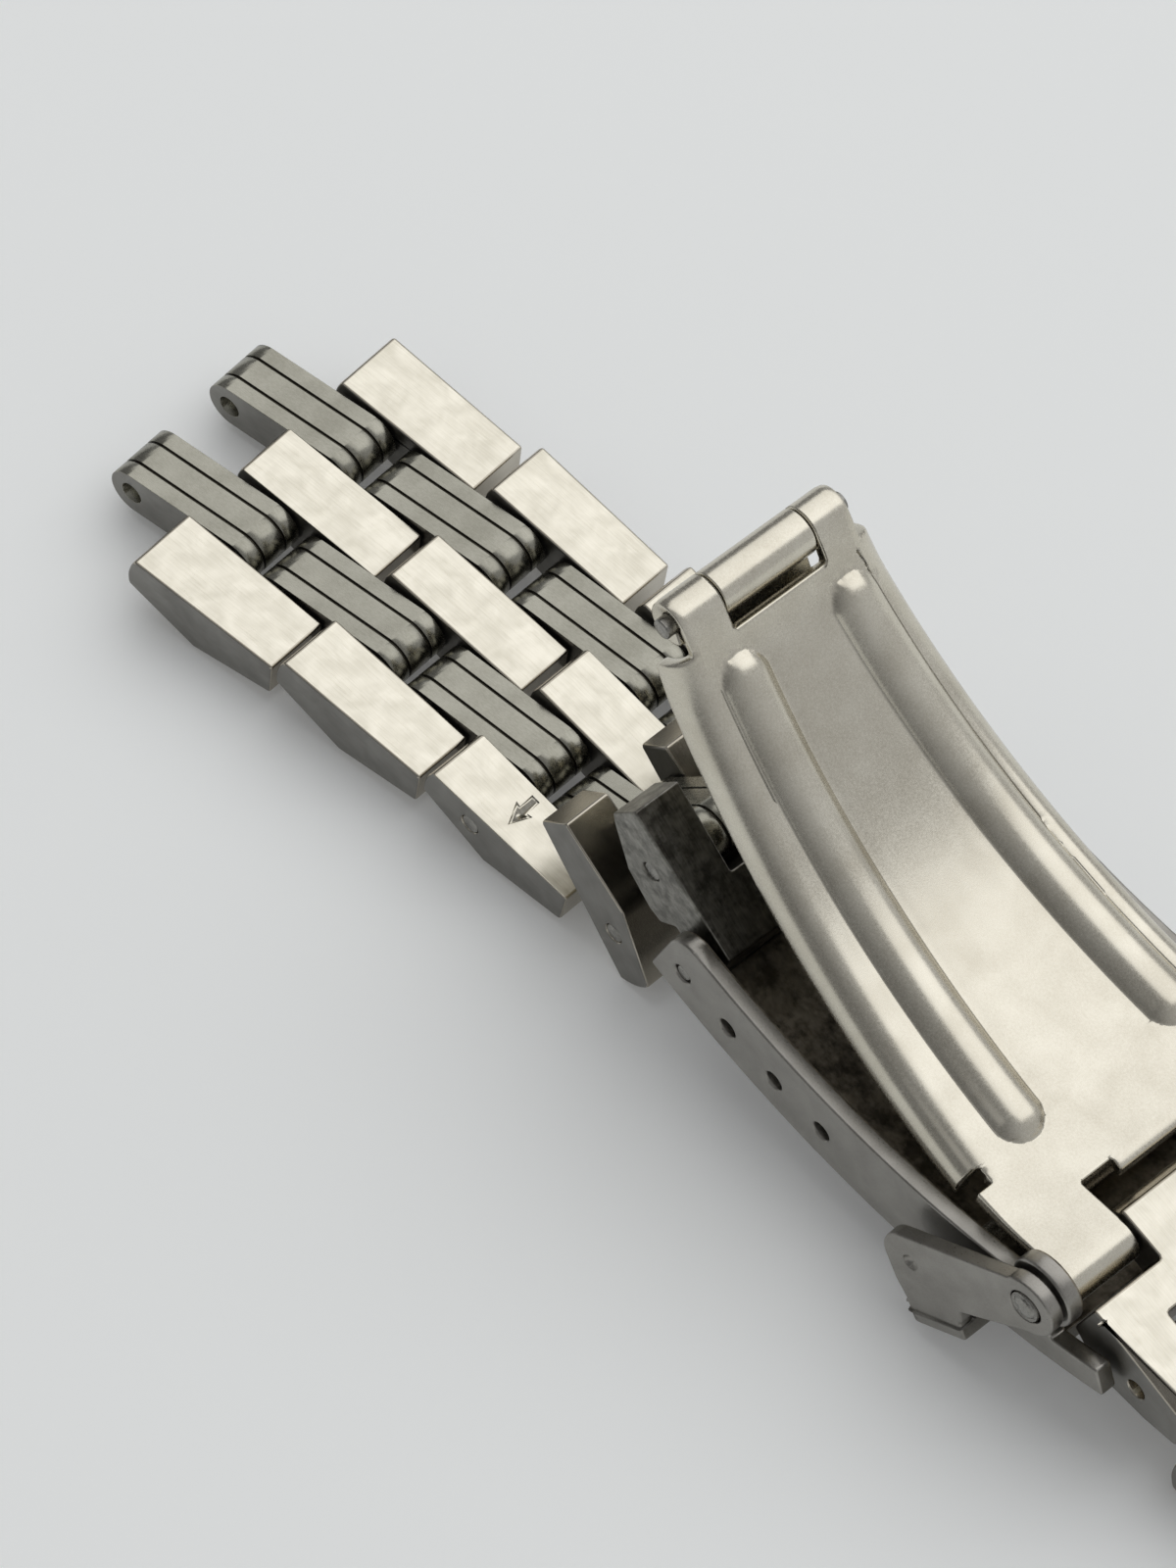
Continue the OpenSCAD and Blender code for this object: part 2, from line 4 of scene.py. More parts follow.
import bmesh
import bpy
import numpy as np
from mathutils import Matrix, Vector


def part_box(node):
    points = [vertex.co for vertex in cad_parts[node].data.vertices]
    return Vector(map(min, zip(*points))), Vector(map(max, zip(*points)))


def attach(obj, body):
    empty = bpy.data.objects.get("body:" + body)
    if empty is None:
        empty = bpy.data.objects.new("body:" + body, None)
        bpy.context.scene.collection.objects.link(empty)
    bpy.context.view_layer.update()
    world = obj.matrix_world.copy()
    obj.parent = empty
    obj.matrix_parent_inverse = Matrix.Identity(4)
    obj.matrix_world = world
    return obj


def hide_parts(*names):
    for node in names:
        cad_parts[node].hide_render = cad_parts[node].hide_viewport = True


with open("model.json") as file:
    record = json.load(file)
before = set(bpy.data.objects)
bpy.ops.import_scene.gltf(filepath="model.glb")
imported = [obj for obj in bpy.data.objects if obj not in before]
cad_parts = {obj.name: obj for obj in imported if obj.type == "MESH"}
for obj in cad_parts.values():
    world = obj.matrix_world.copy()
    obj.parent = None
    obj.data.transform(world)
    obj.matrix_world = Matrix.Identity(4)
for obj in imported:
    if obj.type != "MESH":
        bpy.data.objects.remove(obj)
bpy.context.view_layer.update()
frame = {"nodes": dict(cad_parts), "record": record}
nodes = frame["nodes"]
MM = 0.001
scene = bpy.context.scene


# How the bracelet lies, in the same values as its solids. Angles are degrees.
PIN_SPAN, INTER_SPAN, TURN_STEP = 3.08, 6.5, -0.8167
PITCH_A = [3, -5.9, 4.9, -8, 3.3, -12, 10.4, 131.4, 47.3, -41.5]
PITCH_B = [-16.6, -30.8, 6, -4, 4, -3]
TURN_B = [0, 0.5, 1, 1.2, 1.4, 1.6]
BAR_U, BAR_W = 4.63, 0.13
COVER_R, HOLE_R, COVER_TO_HOLE, WALL_H = 42, 40, 14.8, 4.6
RIVET_ALONG, HINGE_A_DEG, HINGE_A_DEPTH = 10.7, 6.3, 2.2
BLADE1_LEN, BLADE2_LEN, BLADE_SAG = 30.5, 33.16, 3.9
BLADE1_DEG, BLADE2_DEG, ARM_DEG = -38.4, -29.54, 29.8
END_B_U, END_B_W = 5.54, -0.87
END_HALF, END_B_SKIN = 7.84, 1.28
INTER_IN, INTER_W = 1.79, 3.26


def axes(turn, pitch):
    """A piece's own axes as rows: turned about the vertical, then pitched up, both in degrees."""
    t, p = math.radians(turn), math.radians(pitch)
    return np.array([
        [math.cos(p) * math.cos(t), math.cos(p) * math.sin(t), math.sin(p)],
        [-math.sin(t), math.cos(t), 0.0],
        [-math.sin(p) * math.cos(t), -math.sin(p) * math.sin(t), math.cos(p)],
    ])


def within(outer, origin, own):
    """A frame given in another frame, as (origin, axes) in the whole object's frame."""
    return outer[0] + np.asarray(origin, float) @ outer[1], own @ outer[1]


def pins(start, turns, pitches, spans):
    """Left pins of a chain: each lies one span further along the direction of the piece before."""
    out = [np.asarray(start, float)]
    for turn, pitch, span in zip(turns, pitches, spans):
        out.append(out[-1] + axes(turn, pitch)[0] * span)
    return out


TURN_A = [TURN_STEP * i for i in range(10)]
spans_a = [PIN_SPAN if i % 2 else INTER_SPAN for i in range(9)]
pin_a = pins((0, 0, 0), TURN_A, PITCH_A, spans_a)
end_a = (pin_a[9], axes(TURN_A[9], PITCH_A[9]))
bar_at = end_a[0] + np.array([BAR_U, 0, BAR_W]) @ end_a[1]
clasp = (bar_at, axes(TURN_A[9], 0))
hole_turn = COVER_TO_HOLE / COVER_R
arc_at = np.array([HOLE_R * math.sin(hole_turn), HOLE_R * math.cos(hole_turn)])


def on_arc(turn, r):
    """A place in the clasp's frame, by its turn in radians from the cover's lowest point and its
    distance from the middle of the cover's arc."""
    return arc_at + r * np.array([math.sin(turn), -math.cos(turn)])


def on_cover(length, r):
    """The same place, by its length along the cover's outer face instead of its turn."""
    return on_arc(length / COVER_R, r)


rivet_at = on_cover(RIVET_ALONG, COVER_R - WALL_H)
hinge_a = on_arc(math.radians(HINGE_A_DEG), COVER_R - HINGE_A_DEPTH)
hinge_c = hinge_a - BLADE1_LEN * axes(0, BLADE1_DEG)[0, [0, 2]]
hinge_b = hinge_c + BLADE2_LEN * axes(0, BLADE2_DEG)[0, [0, 2]]
on_blade_1 = within(clasp, (hinge_c[0], 0, hinge_c[1]), axes(0, BLADE1_DEG))
on_blade_2 = within(clasp, (hinge_c[0], 0, hinge_c[1]), axes(0, BLADE2_DEG))
# The catch's arms point back along the band, so their u axis is turned round
arm = axes(0, ARM_DEG) * np.array([[-1], [1], [1]])
on_arm = within(clasp, (rivet_at[0], 0, rivet_at[1]), arm)
pin_b = [np.array([hinge_b[0], 0, hinge_b[1]])]
first_pin = pin_b[0] + np.array([END_B_U, 0, END_B_W]) @ axes(TURN_B[0], PITCH_B[0])
pin_b += pins(first_pin, TURN_B[1:], PITCH_B[1:], [INTER_SPAN, PIN_SPAN] * 2)


def link_a(i):
    """The frame of piece i of half A."""
    return pin_a[i], axes(TURN_A[i], PITCH_A[i])


def link_b(i):
    """The frame of piece i of half B, which hangs on the clasp."""
    return within(clasp, pin_b[i], axes(TURN_B[i], PITCH_B[i]))


FRAMES = {
    "end_link_a": end_a, "end_link_a_pin": end_a,
    "blade_1": on_blade_1, "hinge_pin_c": on_blade_1,
    "blade_2": on_blade_2, "hinge_pin_b": on_blade_2,
    "catch": on_arm,
    "end_link_b": link_b(0), "end_link_b_pin": link_b(0),
    "inter_b1": link_b(1), "inter_b2": link_b(3), "band_end_inter_b": link_b(5),
    "band_end_inter_a": link_a(0),
}
for k in (1, 2, 3, 4):
    FRAMES["inter_a%d" % k] = link_a(2 * k)
    for part in ("outer", "centre", "pins"):
        FRAMES["row%d_%s" % (k, part)] = link_a(2 * k - 1)
for k in (2, 3):
    for part in ("outer", "centre", "pins"):
        FRAMES["row_b%d_%s" % (k, part)] = link_b(2 * k - 2)
for name in nodes:
    FRAMES.setdefault(name, clasp)
BODY = {n: body for body, group in frame["record"]["behaviour"]["bodies"].items() for n in group}


# Camera: a long lens, 55 degrees above the table. Its place and its aim are in mm.
CAMERA_AT, CAMERA_AIM = (162.996, -158.679, 297.750), (26.529, -2.517, -1.756)
camera = bpy.data.objects.new("camera", bpy.data.cameras.new("camera"))
scene.collection.objects.link(camera)
scene.camera = camera
camera.data.lens = 180
camera.data.sensor_width = 36
camera.data.clip_start, camera.data.clip_end = 0.02, 20
camera.location = Vector(CAMERA_AT) * MM
looks = Vector(CAMERA_AIM) * MM - camera.location
camera.rotation_euler = looks.to_track_quat("-Z", "Y").to_euler()


# Finishes
TARNISH = "#2B261F"


def linear(text):
    """An sRGB hex colour as linear RGBA."""
    c = np.array([int(text[i:i + 2], 16) for i in (1, 3, 5)]) / 255
    c = np.where(c <= 0.04045, c / 12.92, ((c + 0.055) / 1.055) ** 2.4)
    return (*map(float, c), 1.0)


def add(tree, kind, links=(), **settings):
    """Adds a node. settings are its properties or input sockets by name, and links are pairs of an
    input and the output that feeds it."""
    made = tree.nodes.new(kind)
    for key, value in settings.items():
        if hasattr(made, key):
            setattr(made, key, value)
        else:
            made.inputs[key.replace("_", " ")].default_value = value
    for socket, source in links:
        tree.links.new(source, made.inputs[socket])
    return made


def steel(name, light, dark, rough, grain, cloud, stain=0.0, depth=0.004, spread=0.08):
    """Steel with a directional grain. light and dark are the ends of its tone, grain is the size of
    a mark in mm (u, v, w), cloud the size of the slow change of tone in mm, stain how dark its
    patches of tarnish are, depth the bump in mm and spread how far the roughness strays."""
    material = bpy.data.materials.new(name)
    material.use_nodes = True
    tree = material.node_tree
    shader = tree.nodes["Principled BSDF"]
    shader.inputs["Metallic"].default_value = 1.0
    own = add(tree, "ShaderNodeAttribute", attribute_name="own")
    place = own.outputs["Vector"]
    marks = add(tree, "ShaderNodeMapping", [("Vector", place)], Scale=[1 / g for g in grain])
    lines = add(tree, "ShaderNodeTexNoise", [("Vector", marks.outputs[0])],
                Scale=1.0, Detail=3.0, Roughness=0.6)
    slow = add(tree, "ShaderNodeTexNoise", [("Vector", place)],
               Scale=1 / cloud, Detail=2.0, Distortion=0.4)
    both = add(tree, "ShaderNodeMath", [(0, lines.outputs["Fac"]), (1, slow.outputs["Fac"])],
               operation="ADD")
    tone = add(tree, "ShaderNodeMapRange", [("Value", both.outputs[0])],
               From_Min=0.72, From_Max=1.28)
    colour = add(tree, "ShaderNodeMix", [("Factor", tone.outputs[0])], data_type="RGBA")
    for socket in [s for s in colour.inputs if s.type == "RGBA"]:
        socket.default_value = linear(dark if socket.name == "A" else light)
    shown = [s for s in colour.outputs if s.type == "RGBA"][0]
    if stain:
        patch = add(tree, "ShaderNodeTexNoise", [("Vector", place)],
                    Scale=1 / (1.7 * cloud), Detail=5.0, Roughness=0.65)
        worn = add(tree, "ShaderNodeMapRange", [("Value", patch.outputs["Fac"])],
                   From_Min=0.46, From_Max=0.62, To_Max=stain)
        spoil = add(tree, "ShaderNodeMix", [("Factor", worn.outputs[0])], data_type="RGBA")
        fields = [s for s in spoil.inputs if s.type == "RGBA"]
        tree.links.new(shown, fields[0])
        fields[1].default_value = linear(TARNISH)
        shown = [s for s in spoil.outputs if s.type == "RGBA"][0]
    tree.links.new(shown, shader.inputs["Base Color"])
    gloss = add(tree, "ShaderNodeMapRange", [("Value", lines.outputs["Fac"])],
                From_Min=0.3, From_Max=0.7, To_Min=rough - spread, To_Max=rough + spread)
    tree.links.new(gloss.outputs[0], shader.inputs["Roughness"])
    bump = add(tree, "ShaderNodeBump", [("Height", lines.outputs["Fac"])],
               Strength=1.0, Distance=depth * MM)
    tree.links.new(bump.outputs[0], shader.inputs["Normal"])
    return material


def brushed_skin_painted_light():
    """316L stainless steel, brushed lengthwise on a belt, with short broken lines along the link.
    Its
    near white tone is painted light: lighter than the steel itself, as the lit face towards the
    wrist. The lines are drawn 0.09 mm wide, coarser than real, to show."""
    return steel("brushed_skin_painted_light", "#E6E1D3", "#CBC6B7", 0.34, (1.6, 0.09, 0.09), 1.1, depth=0.005)


def satin_side_painted_shade():
    """316L stainless steel, ground flat on its sides with fine grit: an even mid grey, painted
    darker than the steel is, as painted shade for the shadowed table that the flanks reflect.
    """
    return steel("satin_side_painted_shade", "#8E8C87", "#777570", 0.36, (0.9, 0.07, 0.07), 1.6, depth=0.002)


def polished_face():
    """316L stainless steel, polished with a soft wheel: long reflections and a few hairlines."""
    return steel("polished_face", "#BDB7AA", "#A59E90", 0.22, (1.2, 0.05, 0.05), 2.5,
                 depth=0.0008, spread=0.04)


def tumbled_link():
    """316L stainless steel, tumbled after turning: soft gloss with bright rounded ends."""
    return steel("tumbled_link", "#A3A196", "#8C8A7F", 0.27, (0.25, 0.1, 0.1), 1.8,
                 depth=0.001, spread=0.04)


def groove_dirt_and_shade():
    """Bottom of a turned groove, painted dark: dirt in it, and painted shade of the recess."""
    return steel("groove_dirt_and_shade", "#5B574D", "#3C3931", 0.45, (0.3, 0.1, 0.1), 0.8)


def mottled_end():
    """316L stainless steel, brushed and then marked by water: dark blotches over the grain."""
    return steel("mottled_end", "#9C9A92", "#6D6B65", 0.36, (0.8, 0.08, 0.08), 0.5, stain=0.55)


def tarnished_inside():
    """Pressed 304 sheet on its inner side, left raw from rolling and stained brown by wear."""
    return steel("tarnished_inside", "#A79F91", "#7A7366", 0.42, (0.35, 0.2, 0.2), 0.9, stain=0.7)


def satin_sheet():
    """Pressed 304 sheet, satin on its outer side: fine even grit with almost no direction."""
    return steel("satin_sheet", "#A09D97", "#8B8882", 0.35, (0.12, 0.08, 0.08), 1.8, depth=0.002)


def bead_blasted_blade():
    """Pressed 304 sheet, bead blasted: a fine speckle, warm grey and slightly shiny."""
    return steel("bead_blasted_blade", "#DAD5C7", "#C6C0B1", 0.26, (0.11, 0.11, 0.11), 2.4,
                 depth=0.002, spread=0.05)


def ground_pin():
    """Cold drawn wire, cut and ground: a short grain and a little tarnish."""
    return steel("ground_pin", "#A3A19B", "#7F7D78", 0.3, (0.1, 0.06, 0.06), 0.4, stain=0.25)


def rubbed_edge_and_highlight():
    """Steel edges rubbed bright by the wrist and sleeve, and painted brighter still as a painted
    highlight along each rounded edge.
    """
    return steel("rubbed_edge_and_highlight", "#F3EFE5", "#DCD7CA", 0.2, (0.3, 0.1, 0.1), 0.7,
                 depth=0.0008, spread=0.05)


FINISH = {f.__name__: f() for f in (
    brushed_skin_painted_light, satin_side_painted_shade, polished_face, tumbled_link, groove_dirt_and_shade, mottled_end,
    tarnished_inside, satin_sheet, bead_blasted_blade, ground_pin, rubbed_edge_and_highlight)}


# Meshes
def settle(obj):
    """Applies a piece's modifiers to its mesh."""
    bpy.context.view_layer.update()
    live = obj.evaluated_get(bpy.context.evaluated_depsgraph_get())
    done = bpy.data.meshes.new_from_object(live)
    obj.modifiers.clear()
    obj.data = done


def smooth(obj):
    """Shades every face of a piece smooth."""
    obj.data.polygons.foreach_set("use_smooth", [True] * len(obj.data.polygons))


def solid(name, points, faces):
    """A mesh from points in metres and faces."""
    mesh = bpy.data.meshes.new(name)
    mesh.from_pydata([tuple(map(float, p)) for p in points], [],
                     [tuple(map(int, f)) for f in faces])
    mesh.update()
    obj = bpy.data.objects.new(name, mesh)
    scene.collection.objects.link(obj)
    return obj


def outward(obj):
    """Makes every face of a closed mesh point outwards."""
    bm = bmesh.new()
    bm.from_mesh(obj.data)
    bmesh.ops.remove_doubles(bm, verts=bm.verts, dist=1e-7)
    bmesh.ops.recalc_face_normals(bm, faces=bm.faces)
    bm.to_mesh(obj.data)
    bm.free()
    return obj


def prism(name, own, outline, y0, y1):
    """An outline in a piece's u, w plane, carried across the band from y0 to y1."""
    flat = np.asarray(outline, float)
    n = len(flat)
    ends = [np.column_stack([flat[:, 0], np.full(n, y), flat[:, 1]]) for y in (y0, y1)]
    points = (own[0] + np.vstack(ends) @ own[1]) * MM
    i = np.arange(n)
    sides = np.column_stack([i, (i + 1) % n, (i + 1) % n + n, i + n])
    return outward(solid(name, points, [tuple(i), tuple(i + n), *map(tuple, sides)]))


def turned(name, own, profile, centre, count=48):
    """A profile of (distance from the axis, place across the band), turned in count steps about a
    line across the band at centre (u, w)."""
    r, v = np.asarray(profile, float).T
    a = np.linspace(0, 2 * math.pi, count, endpoint=False)
    ring = np.stack([centre[0] + np.outer(r, np.cos(a)), np.repeat(v[:, None], count, 1),
                     centre[1] + np.outer(r, np.sin(a))], -1)
    m = len(r)
    points = (own[0] + ring.reshape(-1, 3) @ own[1]) * MM
    i, j = np.meshgrid(np.arange(m - 1), np.arange(count), indexing="ij")
    k = (j + 1) % count
    sides = np.stack([i * count + j, i * count + k, (i + 1) * count + k, (i + 1) * count + j], -1)
    caps = [tuple(range(count)), tuple(range((m - 1) * count, m * count))]
    return outward(solid(name, points, [*map(tuple, sides.reshape(-1, 4)), *caps]))


def groove_ring(name, own, path, width, low, high):
    """A closed line of the given width in the u, v plane, from low to high. Both of its sides are
    the path moved square to itself, with mitred corners."""
    p = np.asarray(path, float)
    d = np.roll(p, -1, 0) - p
    d /= np.linalg.norm(d, axis=1)[:, None]
    n = np.column_stack([-d[:, 1], d[:, 0]])
    mitre = n + np.roll(n, 1, 0)
    mitre /= (1 + (n * np.roll(n, 1, 0)).sum(1))[:, None]
    loops = [p + s * mitre * width / 2 for s in (-1, 1)]
    m = len(p)
    stack = [np.column_stack([q, np.full(m, z)]) for z in (low, high) for q in loops]
    points = (own[0] + np.vstack(stack) @ own[1]) * MM
    i = np.arange(m)
    k = (i + 1) % m
    pairs = ((0, m), (2 * m, 3 * m), (0, 2 * m), (m, 3 * m))
    quads = [np.column_stack([a + i, a + k, b + k, b + i]) for a, b in pairs]
    return outward(solid(name, points, np.vstack(quads)))


def steps(knots, sizes):
    """Numbers from the first knot to the last with every knot among them, and between each two
    knots no further apart than that stretch's size."""
    runs = []
    for a, b, size in zip(knots, knots[1:], sizes):
        count = max(1, math.ceil((b - a) / size - 1e-6))
        runs.append(np.linspace(a, b, count, endpoint=False))
    return np.append(np.concatenate(runs), knots[-1])


def formed_sheet(name, own, top, low, cells):
    """A closed sheet from two grids of points, its outer and its inner face, joined all round the
    cells that are kept."""
    n, m = top.shape[:2]
    index = np.arange(n * m).reshape(n, m)
    edge = np.pad(cells, 1)
    i, j = np.nonzero(cells)
    quads = np.column_stack([index[i, j], index[i + 1, j], index[i + 1, j + 1], index[i, j + 1]])
    i, j = np.nonzero(edge[1:, 1:-1] != edge[:-1, 1:-1])
    across = np.column_stack([index[i, j], index[i, j + 1]])
    i, j = np.nonzero(edge[1:-1, 1:] != edge[1:-1, :-1])
    along = np.column_stack([index[i, j], index[i + 1, j]])
    rim = np.vstack([across, along])
    walls = np.column_stack([rim, rim[:, ::-1] + n * m])
    faces = np.vstack([quads, quads[:, ::-1] + n * m, walls])
    used, place = np.unique(faces, return_inverse=True)
    points = np.vstack([top.reshape(-1, 3), low.reshape(-1, 3)])[used]
    return outward(solid(name, (own[0] + points @ own[1]) * MM, place.reshape(faces.shape)))


def dress(obj, finishes, choose):
    """Gives each face one of the finishes. choose(normals, centres, kept) works on whole arrays in
    the piece's own frame and returns an index a face, kept being the index a face has so far."""
    mesh = obj.data
    mesh.materials.clear()
    for name in finishes:
        mesh.materials.append(FINISH[name])
    n = len(mesh.polygons)
    normals, centres, kept = np.empty(n * 3), np.empty(n * 3), np.empty(n, np.int32)
    mesh.polygons.foreach_get("normal", normals)
    mesh.polygons.foreach_get("center", centres)
    mesh.polygons.foreach_get("material_index", kept)
    origin, own = FRAMES[obj["piece"]]
    normals = normals.reshape(-1, 3) @ own.T
    centres = (centres.reshape(-1, 3) / MM - origin) @ own.T
    picked = np.asarray(choose(normals, centres, kept), np.int32)
    mesh.polygons.foreach_set("material_index", picked)
    return obj


def cutters(obj, cuts):
    """Takes the cuts out of a piece when its modifiers are applied."""
    for cut in cuts:
        smooth(cut)
        carve = obj.modifiers.new("carve", "BOOLEAN")
        carve.object, carve.operation, carve.solver = cut, "DIFFERENCE", "EXACT"


def soften(obj, width, angle=30, segments=2, late=()):
    """Rounds each edge sharper than angle by width mm and then takes the late cuts out. Rounded
    faces get material index 1."""
    obj.data.materials.clear()
    for _ in range(2):
        obj.data.materials.append(None)
    stale = ("sharp_edge", "sharp_face", "custom_normal")
    for attribute in [a for a in obj.data.attributes if a.name in stale]:
        obj.data.attributes.remove(attribute)
    smooth(obj)
    soft = obj.modifiers.new("soft", "BEVEL")
    soft.width, soft.segments, soft.limit_method = width * MM, segments, "ANGLE"
    soft.angle_limit, soft.material, soft.use_clamp_overlap = math.radians(angle), 1, False
    soft.miter_outer = "MITER_ARC"
    cutters(obj, late)
    even = obj.modifiers.new("even", "WEIGHTED_NORMAL")
    even.keep_sharp = True
    settle(obj)
    for cut in late:
        bpy.data.objects.remove(cut)
    return obj


def rounded(name, width, cuts=(), **how):
    """A copy of a CAD piece with whole faces for its triangles, the cuts taken out of it and its
    edges rounded by width mm. how goes on to soften."""
    obj = bpy.data.objects.new("steel_" + name, nodes[name].data.copy())
    scene.collection.objects.link(obj)
    obj["piece"] = name
    bm = bmesh.new()
    bm.from_mesh(obj.data)
    bmesh.ops.remove_doubles(bm, verts=bm.verts, dist=1e-6)
    bmesh.ops.dissolve_limit(bm, angle_limit=math.radians(0.3), verts=bm.verts, edges=bm.edges)
    bm.to_mesh(obj.data)
    bm.free()
    if cuts:
        cutters(obj, cuts)
        settle(obj)
        for cut in cuts:
            bpy.data.objects.remove(cut)
    return soften(obj, width, **how)


def keep(obj):
    """Puts a finished piece in the place of its CAD node. Each point's place in the piece's own
    frame, in mm, is stored for the materials."""
    name = obj["piece"]
    origin, own = FRAMES[name]
    mesh = obj.data
    at = np.empty(len(mesh.vertices) * 3)
    mesh.vertices.foreach_get("co", at)
    at = (at.reshape(-1, 3) / MM - origin) @ own.T
    field = mesh.attributes.get("own") or mesh.attributes.new("own", "FLOAT_VECTOR", "POINT")
    field.data.foreach_set("vector", at.ravel())
    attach(obj, BODY[name])
    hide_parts(name)


# Choosers of a finish for each face
def link_faces(n, c, kept):
    """Of a link: the face towards the wrist, painted light; both flanks, painted shade; the outer
    faces; and the rounded edges, a painted highlight over rubbing.
    """
    picked = np.where(n[:, 2] > 0.97, 0, np.where(np.abs(n[:, 1]) > 0.9, 1, 2))
    return np.where(kept == 1, 3, picked)


GROOVES, GROOVE_HALF = (0.28, 0.72), 0.062


def inter_faces(n, c, kept):
    """Of an intermediate pair: dark in the grooves, which stand at their shares of each link's
    width, for dirt and painted shade; then bright edges with a painted highlight, satin flanks in
    painted shade and the rest tumbled."""
    groove = np.zeros(len(c), bool)
    for share in GROOVES:
        groove |= np.abs(np.abs(c[:, 1]) - (INTER_IN + share * INTER_W)) < GROOVE_HALF
    flank = np.abs(n[:, 1]) > 0.9
    return np.where(groove, 2, np.where(kept == 1, 3, np.where(flank, 1, 0)))


def floor_faces(n, c, kept):
    """Of the cover's floor: the side towards the wrist, the outer side and the edges."""
    return np.where(kept == 1, 2, np.where(n[:, 2] > 0.5, 0, 1))


def wall_faces(n, c, kept):
    """Of the cover's walls: the sides towards its middle, the others and the edges."""
    return np.where(kept == 1, 2, np.where(n[:, 1] * c[:, 1] < -1, 0, 1))


def plain_faces(n, c, kept):
    """Of a piece with one finish: its faces and its rounded edges."""
    return np.where(kept == 1, 1, 0)


LINK = ["brushed_skin_painted_light", "satin_side_painted_shade", "polished_face", "rubbed_edge_and_highlight"]
INTER = ["tumbled_link", "satin_side_painted_shade", "groove_dirt_and_shade", "rubbed_edge_and_highlight"]
COVER = ["tarnished_inside", "satin_sheet", "rubbed_edge_and_highlight"]
LINK_EDGE, INTER_EDGE, END_EDGE = 0.13, 0.02, 0.12

# Arrow on row 3 that shows which way the pins come out, a generic sign: its outline is drawn from
# the tail on, as (along it, across it), and lies across the near link with a slight lean
TAIL, NECK, BARB, TIP, SHAFT_HALF, HEAD_HALF = 0.0, 0.84, 0.8, 1.71, 0.19, 0.43
ARROW_AT, ARROW_LEAN, ARROW_LINE = (1.40, -5.69), 0.06, 0.13
arrow = [(TAIL, SHAFT_HALF), (TAIL, -SHAFT_HALF), (NECK, -SHAFT_HALF), (BARB, -HEAD_HALF),
         (TIP, 0), (BARB, HEAD_HALF), (NECK, SHAFT_HALF)]
arrow = [(ARROW_AT[0] + t + ARROW_LEAN * s, ARROW_AT[1] - s) for s, t in arrow]
arrow = groove_ring("arrow_cut", link_a(5), arrow, ARROW_LINE, 1.3, 1.6)

# Links
for name in ("row1_outer", "row2_outer", "row3_outer", "row4_outer", "row1_centre", "row2_centre",
             "row3_centre", "row4_centre", "row_b2_outer", "row_b2_centre", "row_b3_outer",
             "row_b3_centre"):
    late = [arrow] if name == "row3_outer" else ()
    keep(dress(rounded(name, LINK_EDGE, late=late), LINK, link_faces))
for name in ("band_end_inter_a", "inter_a1", "inter_a2", "inter_a3", "inter_a4", "inter_b1",
             "inter_b2", "band_end_inter_b"):
    keep(dress(rounded(name, INTER_EDGE, segments=1), INTER, inter_faces))
keep(dress(rounded("end_link_a", END_EDGE), ["mottled_end"] * 3 + ["rubbed_edge_and_highlight"], link_faces))

# End link B: a bevel along both upper side edges, which widens from 0.02 mm at its clasp end to
# 0.72 mm at the other. Each cut is a long wedge that reaches 1 mm past the edge.
BEVEL, BEVEL_U, PAST = (0.02, 0.72), (2.6, 9.2), 1
wedges = []
for s in (-1, 1):
    points = np.array([
        (u, s * v, w) for u, size in zip(BEVEL_U, BEVEL)
        for v, w in ((END_HALF - size - PAST, END_B_SKIN + PAST),
                     (END_HALF + PAST, END_B_SKIN - size - PAST),
                     (END_HALF + PAST, END_B_SKIN + PAST))])
    points = (link_b(0)[0] + points @ link_b(0)[1]) * MM
    faces = [(0, 1, 2), (5, 4, 3), (0, 3, 4, 1), (1, 4, 5, 2), (2, 5, 3, 0)]
    wedges.append(outward(solid("wedge_cut", points, faces)))
keep(dress(rounded("end_link_b", END_EDGE, cuts=wedges), LINK, link_faces))

# Cover: floor and walls are one pressed sheet. Its walls' upper corners at half A are rounded with
# a radius of 1.6 mm, which is 1.723 mm as a length on the outer face.
CORNER_FROM, CORNER_LEN, CORNER_R, CORNER_TOP = -14.62, 1.723, 1.6, 38.96
CORNER_PAST, CORNER_LOW = -18, 36.4
keep(dress(rounded("clasp_cover", 0.05), COVER, floor_faces))
corner = [on_cover(CORNER_FROM - CORNER_LEN * math.sin(x), CORNER_TOP - CORNER_R * math.cos(x))
          for x in np.linspace(0, math.pi / 2, 9)]
corner += [on_cover(CORNER_PAST, CORNER_TOP), on_cover(CORNER_PAST, CORNER_LOW),
           on_cover(CORNER_FROM, CORNER_LOW)]
corner = prism("corner_cut", clasp, corner, -20, 20)
keep(dress(rounded("clasp_cover_walls", 0.14, cuts=[corner]), COVER, wall_faces))

# Catch: a small dimple in each arm. Its rivets are tubes whose flush heads have a ring pressed in.
DIMPLE, DIMPLE_AT = [(0.55, 12), (0.48, 10.56), (0.25, 10.25)], (7.4, 0.0)
RIVET = [(0.8, 8.14), (0.8, 9.98), (0.77, 10.03), (0.72, 10.04), (0.68, 9.96), (0.62, 9.96),
         (0.57, 10.05), (0.46, 10.1), (0.3, 10.13), (0.1, 10.14)]
dimples = [turned("dimple_cut", on_arm, [(r, s * v) for r, v in DIMPLE], DIMPLE_AT)
           for s in (-1, 1)]
keep(dress(rounded("catch", 0.12, late=dimples), ["satin_sheet", "rubbed_edge_and_highlight"], plain_faces))
rivets, other = [turned("rivet", clasp, [(r, s * v) for r, v in RIVET], rivet_at) for s in (-1, 1)]
rivets.name = "steel_catch_rivets"
rivets["piece"] = "catch_rivets"
bm = bmesh.new()
for head in (rivets, other):
    bm.from_mesh(head.data)
